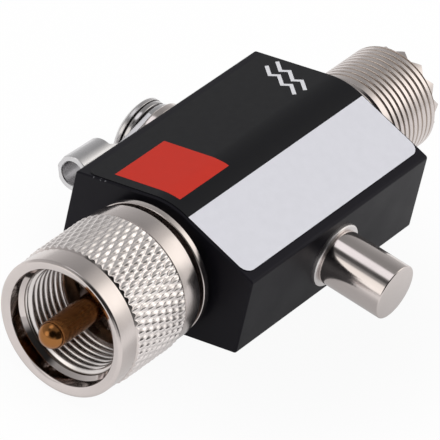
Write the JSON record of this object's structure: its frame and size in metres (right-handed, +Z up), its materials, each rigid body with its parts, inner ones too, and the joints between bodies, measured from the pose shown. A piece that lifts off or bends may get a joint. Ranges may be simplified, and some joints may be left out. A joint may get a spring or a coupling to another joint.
{
  "type": "coax lightning arrestor",
  "caption": "Inline coaxial lightning arrestor: threaded plug and jack on a black hexagonal body, gas tube under a screw cap, ground terminal opposite.",
  "frame": {"origin": "on the connector axis, in the plug's mating plane at the tips of the plug shell's serrations", "axes": "+X along the connector axis from plug to jack, +Z up through the labelled roof, -Y towards the screw cap"},
  "size_m": [0.081, 0.0471, 0.0208],
  "materials": {
    "black_paint": "satin black paint",
    "foil": "printed silver foil",
    "nickel": "bright nickel plate",
    "gold": "dull gold plate",
    "brass": "bare brass",
    "insulator": "brown phenolic",
    "ceramic": "white ceramic",
    "steel": "spring steel",
    "tin": "matt tin plate"
  },
  "bodies": {
    "housing": {"body": "black_paint", "label": "foil", "plug_shell": "nickel", "plug_collar": "nickel", "plug_insulator": "insulator", "centre_pin": "gold", "line_conductor": "brass", "contact_post": "brass", "jack_shell": "nickel", "jack_insulator": "insulator", "jack_contact": "gold", "cap_bush": "nickel", "flat_washer": "nickel"},
    "nut": {"coupling_nut": "nickel"},
    "tube_carriage": {"tube_inner_electrode": "steel", "tube_ceramic": "ceramic", "tube_outer_electrode": "steel", "contact_spring": "steel"},
    "screw_cap": {"cap": "nickel"},
    "washer_carriage": {"spring_washer": "steel"},
    "clamp_screw": {"ground_screw": "nickel"},
    "terminal": {"ring_terminal": "tin"}
  },
  "joints": [
    {"name": "nut_spin", "type": "hinge", "parent": "housing", "child": "nut", "pos_m": [0, 0, 0], "axis": [1, 0, 0], "continuous": true},
    {"name": "cap_travel", "type": "slide", "parent": "housing", "child": "tube_carriage", "axis": [0, -1, 0], "range_m": [0, 0.0045]},
    {"name": "cap_turn", "type": "hinge", "parent": "tube_carriage", "child": "screw_cap", "pos_m": [0.0298, -0.01515, 0], "axis": [0, -1, 0], "range_deg": [0, 2160]},
    {"name": "screw_travel", "type": "slide", "parent": "housing", "child": "washer_carriage", "axis": [0, 1, 0], "range_m": [0, 0.0064]},
    {"name": "screw_turn", "type": "hinge", "parent": "washer_carriage", "child": "clamp_screw", "pos_m": [0.0298, 0.01515, 0], "axis": [0, 1, 0], "range_deg": [0, 2880]},
    {"name": "terminal_swivel", "type": "hinge", "parent": "housing", "child": "terminal", "pos_m": [0.0298, 0.01515, 0], "axis": [0, 1, 0], "continuous": true}
  ],
  "couplings": [
    {"joint": "cap_turn", "follows": "cap_travel", "rad_per_m": 8377.5},
    {"joint": "screw_turn", "follows": "screw_travel", "rad_per_m": 7853.9}
  ]
}
